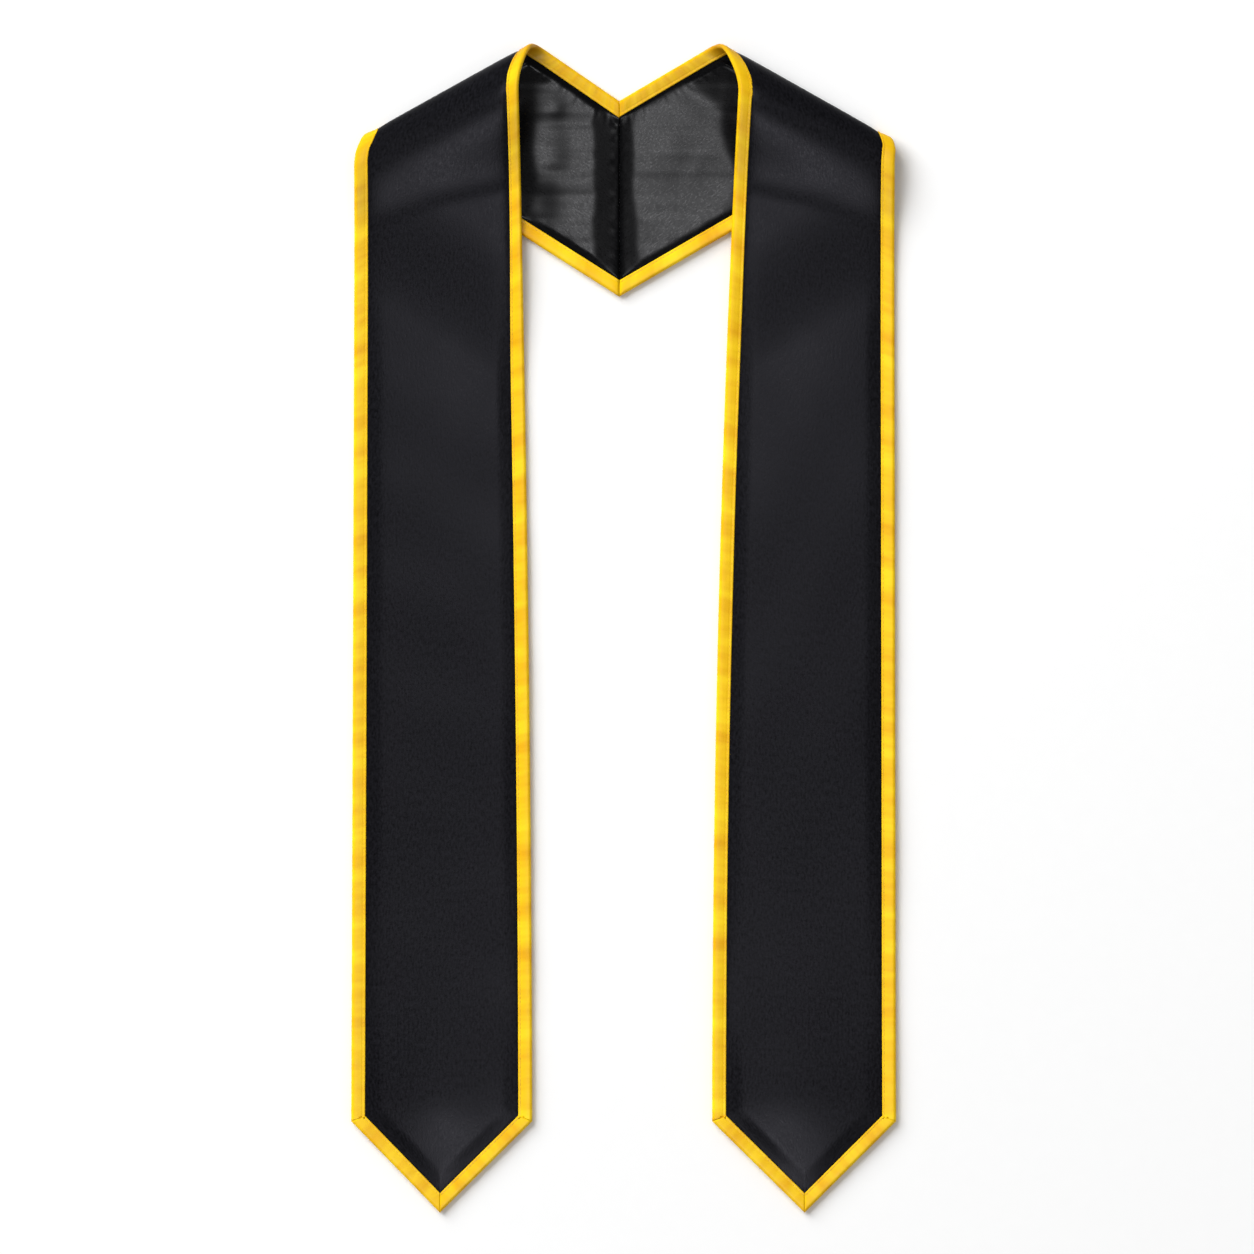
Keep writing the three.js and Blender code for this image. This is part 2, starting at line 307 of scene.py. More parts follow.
class Half:
    """Middle surface of one half, worked out with x outwards from the centre back seam and y up
    from the neck end of its shoulder fold. t runs 0 to 1 over the back, to 2 round the roll, to 3
    down the front and to 4 at the tip, and w runs 0 to 1 from the outer edge to the neck edge."""

    def __init__(self, lay, sizes):
        self.lay, self.sizes = lay, sizes
        self.tape_out = sizes.edge_thickness / 2
        self.skin = 0.72 * self.tape_out
        self.rest = self.tape_out + 0.1 * MM
        self.lift = sizes.edge_thickness + 0.2 * MM
        self.neck, self.outer = math.radians(lay.neck_angle), math.radians(lay.outer_angle)
        self.shoulder = math.radians(lay.shoulder_angle)
        self.along = np.array([-math.cos(self.shoulder), math.sin(self.shoulder)])
        self.across = np.array([-math.sin(self.shoulder), -math.cos(self.shoulder)])
        self.neck_crest = np.array([sizes.neck_gap * lay.reach, 0.0])
        self.seam_top = np.array([0.0, -self.neck_crest[0] * math.tan(self.neck)])
        self.seam_foot = self.seam_top - np.array([0.0, sizes.seam_length])
        rise = self.neck_crest[0] * math.tan(self.shoulder)
        reach = (rise - self.seam_foot[1]) / (math.tan(self.outer) + math.tan(self.shoulder))
        self.outer_crest = np.array([reach, rise - reach * math.tan(self.shoulder)])
        self.outer_corner = np.array([sizes.overall_width * lay.width, -sizes.front_length])
        self.neck_corner = self.outer_corner - np.array([sizes.panel_width * lay.panel, 0.0])
        middle = (self.outer_corner + self.neck_corner) / 2
        self.tip = middle + np.array([sizes.panel_width * lay.point, -sizes.point_length])
        self.neck_roll = Roll(
            self, self.neck_crest, self.neck, 11 * MM, 17 * MM, sizes.neck_roll_height,
            sizes.panel_width * lay.neck_slip,
        )
        self.outer_roll = Roll(
            self, self.outer_crest, self.outer, 7 * MM, 8.5 * MM, sizes.outer_roll_height,
            sizes.panel_width * lay.outer_slip,
        )
        seam_x = CAD_BOX[1].x - sizes.overall_width * LAYS[1].width
        self.origin = np.array([seam_x, CAD_BOX[0].y + sizes.front_length + sizes.point_length])
        self.steps = np.linspace(0, 4, 1601)
        line = self.strip(self.steps, np.full_like(self.steps, 0.5))
        self.run = np.concatenate([[0], np.cumsum(np.linalg.norm(np.diff(line, axis=0), axis=1))])

    def height(self, place, w):
        """Height of the front: off the roll, over the back part, then down past its lower edge."""
        foot = self.seam_foot
        past = place[:, 0] * math.sin(self.outer) - (place[:, 1] - foot[1]) * math.cos(self.outer)
        ground = self.rest + self.lift * (1 - smooth((past - 10 * MM) / (80 * MM)))
        fall = (place - self.neck_crest) @ self.across - self.skin
        depth = mix(self.outer_roll.depth, self.neck_roll.depth, w)
        run = mix(44 * MM, 66 * MM, w)
        top = self.rest + mix(self.outer_roll.height, self.neck_roll.height, w)
        return mix(top, ground, smooth((fall - depth) / run))

    def outer_front(self, share):
        return mix(self.outer_roll.exit, self.outer_corner, column(share))

    def neck_front(self, share):
        share = np.clip(share, 0, 1)
        x = mix(self.neck_corner[0], self.neck_roll.exit[0], (1 - share) ** self.lay.bow)
        y = mix(self.neck_roll.exit[1], self.neck_corner[1], share)
        return np.column_stack([x, y])

    def waves(self, place):
        """Gentle waves that lift the cloth off the surface here and there."""
        lift = np.zeros(len(place))
        for height, length, heading, start in WAVES:
            turn = math.radians(heading * self.lay.side + 90 * (self.lay.side < 0))
            across = place[:, 0] * math.cos(turn) + place[:, 1] * math.sin(turn)
            phase = 2 * math.pi * across / length + math.radians(start + 70 * self.lay.side)
            lift += height * (1 + np.sin(phase))
        return lift

    def strip(self, t, w):
        """Points of the middle surface before its bends are eased, with x outwards."""
        tc, wc = column(t), column(w)
        low = mix(self.seam_foot, self.outer_roll.entry, tc)
        high = mix(self.seam_top, self.neck_roll.entry, tc)
        back = np.hstack([mix(low, high, wc), np.full_like(tc, self.rest)])
        share = np.clip(t - 1, 0, 1)
        roll = mix(self.outer_roll.turn(share), self.neck_roll.turn(share), wc)
        share = np.clip(t - 2, 0, 1)
        place = mix(self.outer_front(share), self.neck_front(share), wc)
        front = np.hstack([place, column(self.height(place, w))])
        share = column(np.clip(t - 3, 0, 1))
        low = mix(self.outer_corner, self.tip, share)
        high = mix(self.neck_corner, self.tip, share)
        place = mix(low, high, wc)
        point = np.hstack([place, np.full_like(tc, self.rest)])
        points = np.select([tc < 1, tc < 2, tc <= 3], [back, roll, front], point)
        points[:, 2] += self.waves(points[:, :2]) * smooth(np.abs(t - 1.5) * 2 - 1)
        return points

    def middle(self, t, w):
        """Points of the middle surface, eased where the back runs into the roll and the roll into
        the front."""
        t, w = np.asarray(t, float), np.asarray(w, float)
        run = self.along_cloth(t)
        start, end = self.along_cloth(np.array([1.0, 2.0]))
        reach = 2 * MM * np.exp(-(((run - start) / (6 * MM)) ** 2))
        reach += 4.5 * MM * np.exp(-(((run - end) / (10 * MM)) ** 2))
        points = self.strip(t, w)
        near = (reach > 0.05 * MM) & (t > 0) & (t < 3)
        if near.any():
            total = np.zeros((int(near.sum()), 3))
            for offset, weight in zip(EASE_STEPS, EASE):
                at = np.interp(run[near] + offset * reach[near], self.run, self.steps)
                total += weight * self.strip(at, w[near])
            points[near] = total
        return points

    def slopes(self, t, w):
        """Slopes along and across the surface, and its normal on the outer satin's side."""
        nudge = 1e-4
        t, w = np.asarray(t, float), np.asarray(w, float)
        start = np.clip(t - nudge, 0, np.where(t <= 3, 3, 4) - 2 * nudge)
        along = (self.middle(start + 2 * nudge, w) - self.middle(start, w)) / (2 * nudge)
        start = np.clip(w - nudge, 0, 1 - 2 * nudge)
        across = (self.middle(t, start + 2 * nudge) - self.middle(t, start)) / (2 * nudge)
        normal = -np.cross(along, across)
        size = np.linalg.norm(normal, axis=1, keepdims=True)
        normal = np.where(size > 1e-9, normal / np.maximum(size, 1e-9), (0.0, 0.0, 1.0))
        return along, across, normal

    def edge_share(self, t, w, distance):
        """Share of a row that lies within a true distance of one of its edges."""
        along, across, _ = self.slopes(t, w)
        area = np.linalg.norm(np.cross(along, across), axis=1)
        return distance * np.linalg.norm(along, axis=1) / np.maximum(area, 1e-9)

    def place(self, t, w, level, lift=0.0):
        """Points at a level above or below the middle surface, still unmirrored."""
        points = self.middle(t, w) + column(level) * self.slopes(t, w)[2]
        points[:, 2] += lift
        return points

    def tape_share(self, t, edge):
        """Share of its width that the tape shows, less where it turns over at the neck."""
        return 1 - self.lay.slim * edge * smooth((t - 1.2) / 0.3) * smooth((2.3 - t) / 0.2)

    def world(self, points):
        """Points moved and mirrored to where the half lies."""
        moved = np.array(points)
        moved[:, 0] = self.origin[0] + self.lay.side * moved[:, 0]
        moved[:, 1] += self.origin[1]
        return moved

    def along_cloth(self, t):
        """Distance down the middle of the cloth from the seam, for the weave."""
        return np.interp(t, self.steps, self.run)


def grid_piece(name, rows, columns, shape, half):
    """A sheet from a bmesh grid: shape takes each vertex's row and column share and gives its
    place, its cloth coordinates with its share of painted shade, and its outward normal."""
    mesh = bpy.data.meshes.new(name)
    bm = bmesh.new()
    bmesh.ops.create_grid(bm, x_segments=columns, y_segments=rows, size=0.5)
    bm.verts.ensure_lookup_table()
    flat = np.array([v.co[:] for v in bm.verts])
    points, cloth, outward = shape(flat[:, 1] + 0.5, flat[:, 0] + 0.5)
    points = half.world(points)
    outward[:, 0] *= half.lay.side
    layer = bm.loops.layers.uv.new("cloth")
    for face in bm.faces:
        for loop in face.loops:
            loop[layer].uv = cloth[loop.vert.index, :2]
    # The third cloth value goes into the turned attribute, which the tape's material reads as
    # painted shade
    turned = bm.verts.layers.float.new("turned")
    for vert, point, row in zip(bm.verts, points, cloth):
        vert.co = point
        vert[turned] = row[2]
    bm.normal_update()
    agree = sum(v.normal.dot(Vector(n)) for v, n in zip(bm.verts, outward))
    if agree < 0:
        bmesh.ops.reverse_faces(bm, faces=bm.faces)
    bmesh.ops.remove_doubles(bm, verts=bm.verts, dist=1e-6)
    for face in bm.faces:
        face.smooth = True
    bm.to_mesh(mesh)
    bm.free()
    piece = bpy.data.objects.new(name, mesh)
    bpy.context.collection.objects.link(piece)
    return piece


def thicken(piece, thickness):
    """Give a sheet its thickness inwards from the side that shows."""
    solid = piece.modifiers.new("Thickness", "SOLIDIFY")
    solid.thickness = thickness
    solid.offset = -1
    solid.use_even_offset = False


def spread(share, rows):
    """t of a row share, with the given numbers of rows in each stretch."""
    marks = np.concatenate([[0], np.cumsum(rows)]) / sum(rows)
    return np.interp(share, marks, np.arange(len(rows) + 1))


def finish_piece(piece, material, nodes):
    piece.data.materials.append(material)
    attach(piece, "root")
    if nodes:
        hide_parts(*nodes)


def ripple(along, length, seed):
    """A wave that never repeats exactly, for puckers along a seam."""
    turn = 2 * np.pi * along / length
    return (
        np.sin(turn + seed)
        + 0.6 * np.sin(0.618 * turn + 2.1 * seed)
        + 0.4 * np.sin(1.73 * turn + 0.7 * seed)
    ) / 2


def cloth_shape(half, outer_side):
    """Shape of one layer of cloth: outer_side is 1 for the face and -1 for the lining."""
    sizes = half.sizes
    inset = CLOTH_INSET

    def shape(row, across):
        t = spread(row, CLOTH_ROWS)
        # The rows stop short of the corner, so that the inset edge turns at its own corner
        slant = half.tip - half.outer_corner
        back = inset * half_turn(np.array([0.0, -1.0]), slant)
        length = half.neck_roll.exit[1] - half.neck_corner[1]
        stop = 1 - back / length
        body = np.where(t > 2, 2 + (np.minimum(t, 3) - 2) * stop, t)
        first = half.edge_share(body, np.zeros_like(t), inset)
        last = 1 - half.edge_share(body, np.ones_like(t), inset)
        w = mix(first, last, across)
        points = half.middle(body, w)
        normal = half.slopes(body, w)[2]
        # In the point both edges run to the inset tip
        angle = half_turn(half.outer_corner - half.tip, half.tip - half.neck_corner)
        tip = half.tip + np.array([0.0, inset * math.hypot(1, angle)])
        share = column(np.clip(t - 3, 0, 0.985))
        point_place = mix(points[:, :2], tip, share)
        in_point = t > 3
        points[in_point, :2] = point_place[in_point]
        normal[in_point] = (0.0, 0.0, 1.0)
        along = half.along_cloth(t)
        width = mix(sizes.panel_width * 0.92, sizes.panel_width, np.clip(t / 3, 0, 1))
        edge = np.minimum(across, 1 - across) * width + 10 * in_point
        for corner, facing in ((half.outer_corner, 1), (half.neck_corner, -1)):
            heading = unit(half.tip - corner)
            slanted = (points[:, :2] - corner) @ np.array([heading[1], -heading[0]]) * facing
            edge = np.where(t > 2.5, np.minimum(edge, slanted - inset), edge)
        # The cloth swells between the tapes and dips where the stitching holds it down
        inside = edge - (sizes.tape_width - inset)
        rise, soft = (0.75 * MM, 5 * MM) if outer_side > 0 else (0.4 * MM, 1.6 * MM)
        swell = rise * (1 - np.exp(-np.maximum(inside, 0) / soft))
        beside_tape = np.exp(-(((inside - 5 * MM) / (4 * MM)) ** 2))
        pucker = ripple(along, 11 * MM, 1.3 + outer_side) * beside_tape
        tucked = 0.5 * MM * smooth(-inside / (0.9 * MM))
        level = half.tape_out - 1.2 * MM + swell - tucked + 0.06 * MM * pucker
        if outer_side < 0:
            level = level + back_relief(half, points, t) * smooth(inside / (5 * MM))
        else:
            seam = np.exp(-points[:, 0] / (1.2 * MM))
            level = level - 0.5 * MM * seam * (t < 1)
            level = level + front_relief(half, points, t) * smooth(inside / (12 * MM))
        points = points + column(level * outer_side) * normal
        points[:, 0] += 0.06 * MM * (t < 0.01)
        # The cloth gets no painted shade: its third cloth value is zero
        cloth = np.column_stack([across * width, along, np.zeros_like(t)])
        return points, cloth, normal * outer_side

    return shape


def back_relief(half, points, t):
    """The lining's rise from the centre seam, its puckers there and its soft hollows."""
    lay = half.lay
    x, y = points[:, 0], points[:, 1]
    wander = 1 + 0.07 * ripple(y, 37 * MM, 2.0 * lay.side) + 0.04 * ripple(y, 11 * MM, 1)
    edge = lay.ridge * wander
    edge = edge + 3 * MM * smooth((-100 * MM - y) / (25 * MM)) * (lay.side > 0)
    flat = (1.3 + 1.1 * ripple(y, 63 * MM, 0.4)) * MM * (lay.side < 0)
    rise = lay.slope * (bend(x - flat, 0.7 * MM) - bend(x - edge, 0.9 * MM)) - 0.9 * MM
    free = lay.free * (1 + 0.06 * ripple(y, 71 * MM, 1.1 + lay.side))
    free = free + 12 * MM * smooth((-70 * MM - y) / (30 * MM)) * (lay.side > 0)
    # The sinking stops under the front panel, so that the lining stays above the face
    level_again = bend(x - free - 14 * MM, 4 * MM)
    rise -= 0.12 * (bend(x - free, 1.6 * MM) - level_again)
    rise -= lay.lean * (bend(x - lay.free + 20 * MM, 4 * MM) - level_again)
    depth = (0.16 - 0.08 * lay.side) * MM
    beside_seam = np.exp(-(((x - 2.5 * MM) / (2.5 * MM)) ** 2))
    pucker = depth * ripple(y, 8.5 * MM, 3 + lay.side) * beside_seam
    hollows = 0.05 * MM * ripple(x + 0.5 * y, 29 * MM, 1)
    hollows = hollows * ripple(y - 0.4 * x, 27 * MM, 2 + lay.side)
    for place_x, place_y, radius, depth in HOLLOWS[lay.name]:
        away = ((x - place_x * MM) ** 2 + (y - place_y * MM) ** 2) / (radius * MM) ** 2
        hollows += 0.7 * depth * MM * np.exp(-away)
    seam = 0.3 * MM * np.exp(-x / (0.9 * MM))
    fall = (points[:, :2] - half.neck_crest) @ half.across
    heave = 0.16 * bend((31 + 4 * lay.side) * MM - fall + 0.05 * x, 2.5 * MM)
    return (rise + pucker + hollows + heave - seam) * smooth((1.3 - t) / 0.2)


def front_relief(half, points, t):
    """Broad low swells of the front panel, which give the satin its slow change of sheen."""
    lay = half.lay
    from_axis = points[:, 0] - (half.outer_corner[0] + half.neck_corner[0]) / 2
    lift = np.zeros_like(from_axis)
    for across, up, radius, height in SWELLS[lay.name]:
        away = (from_axis - across * MM) ** 2 + (points[:, 1] - half.tip[1] - up * MM) ** 2
        lift += height * MM * np.exp(-away / (radius * MM) ** 2)
    return lift * smooth((t - 2.1) / 0.1)


def tape_profile(share, sizes, tape_out):
    """Depth in from the edge and level of the folded tape, from its upper lip at share 0 round
    the fold to its lower lip at share 1."""
    side = np.where(share < 0.5, 1.0, -1.0)
    run = np.abs(share - 0.5) * 2
    width = sizes.tape_width
    angle = np.clip(run / FOLD_SHARE, 0, 1) * np.pi / 2
    flat = (run - FOLD_SHARE) / (1 - FOLD_SHARE)
    depth = np.where(
        run < FOLD_SHARE, FOLD_DEPTH * (1 - np.cos(angle)), mix(FOLD_DEPTH, width, flat),
    )
    level = np.where(run < FOLD_SHARE, np.sin(angle), 1.0) * tape_out
    row = width - STITCH_INSET
    dip = 0.38 * MM * np.exp(-(((depth - row) / (0.7 * MM)) ** 2))
    lip = 0.24 * MM * smooth((depth - width + 0.35 * MM) / (0.35 * MM))
    lip -= 0.14 * MM * np.exp(-(((depth - width + 0.55 * MM) / (0.3 * MM)) ** 2))
    fall = 0.45 * MM * smooth((depth - 3 * MM) / (4.5 * MM))
    level = level - (dip + lip + fall) * (run > 0.3)
    return depth, level * side


def tape_shape(half, edge, setback):
    """Shape of the tape round a long edge: edge is 0 for the outer and 1 for the neck edge."""
    sizes = half.sizes
    count = sum(TAPE_ROWS)

    def shape(row, share):
        t = spread(row, TAPE_ROWS)
        depth, level = tape_profile(share, sizes, half.tape_out)
        depth = depth * half.tape_share(t, edge)
        level = level * (1 - 0.3 * smooth(1 - np.abs(t - 1.55) / 0.6) * edge)
        along = half.along_cloth(t)
        stitched = np.exp(-(((depth - sizes.tape_width + STITCH_INSET) / (2.2 * MM)) ** 2))
        stitched *= smooth((half.along_cloth(3.0) - along) / (12 * MM))
        puffed = smooth((sizes.tape_width - depth) / (5 * MM))
        puffed *= smooth((half.along_cloth(3.0) - along) / (14 * MM))
        level = level * (1 + 0.06 * puffed * ripple(along, 14 * MM, 0.5 + edge + half.lay.side))
        level = level * (1 + 0.04 * stitched * ripple(along, 5.4 * MM, 2 + edge))
        end = row > 1 - 0.5 / count
        first, last = half.outer_front(np.array([0.0, 1.0]))
        length = np.linalg.norm(last - first)
        t = np.where(end, t - (depth * setback + 0.02 * MM) / length, t)
        inward = half.edge_share(t, np.full_like(t, float(edge)), depth)
        w = inward if edge == 0 else 1 - inward
        points = half.place(t, w, level)
        points[:, 0] += 0.06 * MM * (row < 0.5 / count)
        sewn = 0.35 * np.exp(-points[:, 0] / (0.9 * MM))
        sewn -= 0.22 * np.exp(-(((points[:, 0] - 3.6 * MM) / (1.8 * MM)) ** 2))
        points[:, 2] -= MM * sewn * (t < 0.5) * (points[:, 2] > half.rest)
        # Share of painted shade on the tape where it turns under at the roll, read by its material
        turned = np.interp(t, *NECK_PAINTED_SHADE) if edge else np.interp(t, *OUTER_PAINTED_SHADE)
        cloth = np.column_stack([share * 2.2 * sizes.tape_width, along + 2 - 2 * edge, turned])
        normal = half.slopes(t, w)[2] * column(np.sign(level))
        return points, cloth, normal

    return shape


def point_tape_shape(half, corner, other, front, facing):
    """Shape of the tape round a slanted edge of the point, mitred at the corner and the tip."""
    sizes = half.sizes
    slant = half.tip - corner
    heading = unit(slant)
    inward = np.array([heading[1], -heading[0]]) * facing
    last, before = front(np.array([1.0]))[0], front(np.array([0.999]))[0]
    start_turn = half_turn(last - before, slant)
    end_turn = half_turn(slant, other - half.tip)

    def shape(row, share):
        depth, level = tape_profile(share, sizes, half.tape_out)
        start = depth * start_turn + 0.02 * MM
        stop = np.linalg.norm(slant) - depth * end_turn - 0.02 * MM
        run = mix(start, stop, row)
        puffed = smooth((sizes.tape_width - depth) / (5 * MM))
        puffed *= smooth(np.minimum(run - start, stop - run) / (12 * MM))
        level = level * (1 + 0.06 * puffed * ripple(run, 13 * MM, 1.7 + facing))
        place = corner + column(run) * heading + column(depth) * inward
        lift = half.rest + half.waves(place) + level
        points = np.column_stack([place, lift])
        # A little painted shade all along the tape of the point
        turned = np.full_like(run, 0.08)
        cloth = np.column_stack([share * 2.2 * sizes.tape_width, run + 3, turned])
        normal = np.column_stack([np.zeros((len(row), 2)), np.sign(level)])
        return points, cloth, normal

    return shape


def add_stitches(bm, places, headings, sizes):
    """One flattened thread loop for each stitch, lying along its heading. The first is copied until
    there are enough, and each copy then goes to its own place."""
    number = bm.verts.layers.int.get("stitch") or bm.verts.layers.int.new("stitch")
    shape = Matrix.Diagonal((sizes.stitch_length / 2, 0.2 * MM, 0.14 * MM, 1))
    bmesh.ops.create_uvsphere(
        bm, u_segments=STITCH_SIDES[0], v_segments=STITCH_SIDES[1], radius=1, matrix=shape,
    )
    made = 1
    while made < len(places):
        chosen = [v for v in bm.verts if v[number] < len(places) - made]
        kept = set(chosen)
        faces = [f for f in bm.faces if f.verts[0] in kept]
        copies = bmesh.ops.duplicate(bm, geom=chosen + faces)["geom"]
        for item in copies:
            if isinstance(item, bmesh.types.BMVert):
                item[number] += made
        made *= 2
    turns = [
        Matrix.Translation(place) @ Vector(heading).to_track_quat("X", "Z").to_matrix().to_4x4()
        for place, heading in zip(places, headings)
    ]
    for vert in bm.verts:
        vert.co = turns[vert[number]] @ vert.co


def stitch_level(half):
    """Level of the stitches, which sit in the dip that they press into the tape."""
    width = half.sizes.tape_width
    flat = (width - STITCH_INSET - FOLD_DEPTH) / (width - FOLD_DEPTH)
    share = 0.5 - 0.5 * (FOLD_SHARE + (1 - FOLD_SHARE) * flat)
    return float(tape_profile(np.array([share]), half.sizes, half.tape_out)[1][0])


def stitch_line(half, edge, side, sizes):
    """Places and headings of the stitches along a long edge, on the face or the lining side."""
    steps = np.linspace(0.002, 2.985, 3000)
    depth = (sizes.tape_width - STITCH_INSET) * half.tape_share(steps, edge)
    inward = half.edge_share(steps, np.full_like(steps, float(edge)), depth)
    level = side * stitch_level(half)
    w = inward if edge == 0 else 1 - inward
    line = half.world(half.place(steps, w, np.full_like(steps, level)))
    run = np.concatenate([[0], np.cumsum(np.linalg.norm(np.diff(line, axis=0), axis=1))])
    marks = np.arange(2.2 * MM, run[-1] - 2 * MM, sizes.stitch_length + STITCH_GAP)
    at = np.column_stack([np.interp(marks, run, line[:, i]) for i in range(3)])
    ahead = np.column_stack([np.interp(marks + 0.5 * MM, run, line[:, i]) for i in range(3)])
    return at, ahead - at


def point_stitch_line(half, corner, other, facing, side, sizes):
    """The same along a slanted edge of the point."""
    slant = half.tip - corner
    heading = unit(slant)
    inward = np.array([heading[1], -heading[0]]) * facing
    depth = sizes.tape_width - STITCH_INSET
    start = depth * half_turn(np.array([0.0, -1.0]), slant)
    stop = np.linalg.norm(slant) - depth * half_turn(slant, other - half.tip)
    marks = np.arange(start + 1 * MM, stop - 1 * MM, sizes.stitch_length + STITCH_GAP)
    place = corner + column(marks) * heading + inward * depth
    lift = half.rest + half.waves(place) + side * stitch_level(half)
    line = half.world(np.column_stack([place, lift]))
    turned = np.array([heading[0] * half.lay.side, heading[1], 0.0])
    return line, np.repeat([turned], len(line), axis=0)


def add_node(tree, kind, settings=None, links=None):
    """Add a node, with its settings or input values by name and its links by input."""
    made = tree.nodes.new(kind)
    for key, value in (settings or {}).items():
        if isinstance(key, str) and hasattr(made, key):
            setattr(made, key, value)
        else:
            made.inputs[key].default_value = value
    for key, output in (links or {}).items():
        tree.links.new(output, made.inputs[key])
    return made


def new_material(name):
    material = bpy.data.materials.new(name)
    material.use_nodes = True
    tree = material.node_tree
    tree.nodes.clear()
    return material, tree


def shade(colour, share):
    """A colour made darker or lighter by a share of itself."""
    return [min(c * share, 1.0) for c in colour[:3]] + [1.0]


def woven_satin(name, colour, sheen, roughness, gloss, cloud, thread, bump, tint):
    """Warp-faced satin: long floats give a soft sheen along the cloth, the weave a fine grain,
    and the soft cloth cloudy patches. thread is the drawn grain in metres. Real threads lie about
    0.1 mm apart, too fine to show in the render, so the grain is drawn over ten times coarser."""
    material, tree = new_material(name)
    coords = add_node(tree, "ShaderNodeUVMap", {"uv_map": "cloth"}).outputs[0]
    grain = add_node(
        tree, "ShaderNodeTexNoise",
        {"Scale": 1 / thread, "Detail": 3.0, "Roughness": 0.7}, {"Vector": coords},
    )
    squeezed = add_node(tree, "ShaderNodeMapping", {"Scale": (1.6, 0.6, 1.0)}, {"Vector": coords})
    pick = add_node(
        tree, "ShaderNodeTexNoise",
        {"Scale": 0.7 / thread, "Detail": 2.0, "Roughness": 0.6}, {"Vector": squeezed.outputs[0]},
    )
    clouds = add_node(
        tree, "ShaderNodeTexNoise",
        {"Scale": 1 / cloud, "Detail": 4.0, "Roughness": 0.62, "Distortion": 0.6},
        {"Vector": coords},
    )
    fabric = add_node(
        tree, "ShaderNodeMath", {"operation": "ADD"},
        {0: grain.outputs["Fac"], 1: pick.outputs["Fac"]},
    )
    ramp = add_node(
        tree, "ShaderNodeMapRange",
        {"From Min": 0.75, "From Max": 1.25, "To Min": 0.0, "To Max": 1.0},
        {"Value": fabric.outputs[0]},
    )
    colours = add_node(
        tree, "ShaderNodeMix",
        {"data_type": "RGBA", 6: shade(colour, 1 - tint), 7: shade(colour, 1 + tint)},
        {"Factor": ramp.outputs[0]},
    )
    worn = add_node(
        tree, "ShaderNodeMath", {"operation": "MULTIPLY_ADD", 1: 0.35},
        {0: clouds.outputs["Fac"], 2: fabric.outputs[0]},
    )
    wear = add_node(
        tree, "ShaderNodeMapRange",
        {
            "From Min": 0.775, "From Max": 1.575,
            "To Min": roughness * 0.77, "To Max": roughness * 1.23,
        },
        {"Value": worn.outputs[0]},
    )
    relief = add_node(
        tree, "ShaderNodeBump", {"Strength": bump, "Distance": thread * 0.16},
        {"Height": fabric.outputs[0]},
    )
    shader = add_node(
        tree, "ShaderNodeBsdfPrincipled",
        {"IOR": 1.5, "Specular IOR Level": gloss, "Specular Tint": linear(sheen)},
        {
            "Base Color": colours.outputs[2], "Roughness": wear.outputs[0],
            "Normal": relief.outputs[0],
        },
    )
    add_node(tree, "ShaderNodeOutputMaterial", None, {"Surface": shader.outputs[0]})
    return material


def satin_tape(name, colour):
    """Satin bias tape: bright yellow floats with painted light and painted shade in soft random
    patches along it, standing for the light on its puckers, and fine cross threads that break up
    its shine. The cross threads are drawn 0.9 mm apart, coarser than real ones, so that they show.
    Where the tape turns under at the shoulder roll its colour is darkened with painted shade."""
    material, tree = new_material(name)
    coords = add_node(tree, "ShaderNodeUVMap", {"uv_map": "cloth"}).outputs[0]
    long_way = add_node(tree, "ShaderNodeMapping", {"Scale": (0.25, 1.0, 1.0)}, {"Vector": coords})
    # Soft random patches along the tape, painted lighter and darker as painted light and painted
    # shade
    patches = add_node(
        tree, "ShaderNodeTexNoise",
        {"Scale": 1 / (17 * MM), "Detail": 3.0, "Roughness": 0.55}, {"Vector": long_way.outputs[0]},
    )
    threads = add_node(
        tree, "ShaderNodeTexNoise",
        {"Scale": 1 / (0.9 * MM), "Detail": 2.0, "Roughness": 0.6}, {"Vector": coords},
    )
    tone = add_node(
        tree, "ShaderNodeMapRange",
        {"From Min": 0.32, "From Max": 0.68, "To Min": 0.0, "To Max": 1.0},
        {"Value": patches.outputs["Fac"]},
    )
    patch_shade_yellow = [colour[0] * 0.86, colour[1] * 0.7, colour[2], 1.0]
    bright = add_node(
        tree, "ShaderNodeMix",
        {"data_type": "RGBA", 6: patch_shade_yellow, 7: [colour[0] * 1.08, colour[1] * 1.2, 0.008, 1.0]},
        {"Factor": tone.outputs[0]},
    )
    # Painted shade: where the tape turns under at the shoulder roll, the turned attribute darkens
    # its colour
    turned = add_node(tree, "ShaderNodeAttribute", {"attribute_name": "turned"})
    colours = add_node(
        tree, "ShaderNodeMix",
        {"data_type": "RGBA", 7: [colour[0] * 0.52, colour[1] * 0.4, 0.002, 1.0]},
        {"Factor": turned.outputs["Fac"], 6: bright.outputs[2]},
    )
    relief = add_node(
        tree, "ShaderNodeBump", {"Strength": 0.25, "Distance": 0.08 * MM},
        {"Height": threads.outputs["Fac"]},
    )
    shader = add_node(
        tree, "ShaderNodeBsdfPrincipled",
        {"IOR": 1.5, "Roughness": 0.42, "Specular IOR Level": 0.12},
        {"Base Color": colours.outputs[2], "Normal": relief.outputs[0]},
    )
    add_node(tree, "ShaderNodeOutputMaterial", None, {"Surface": shader.outputs[0]})
    return material


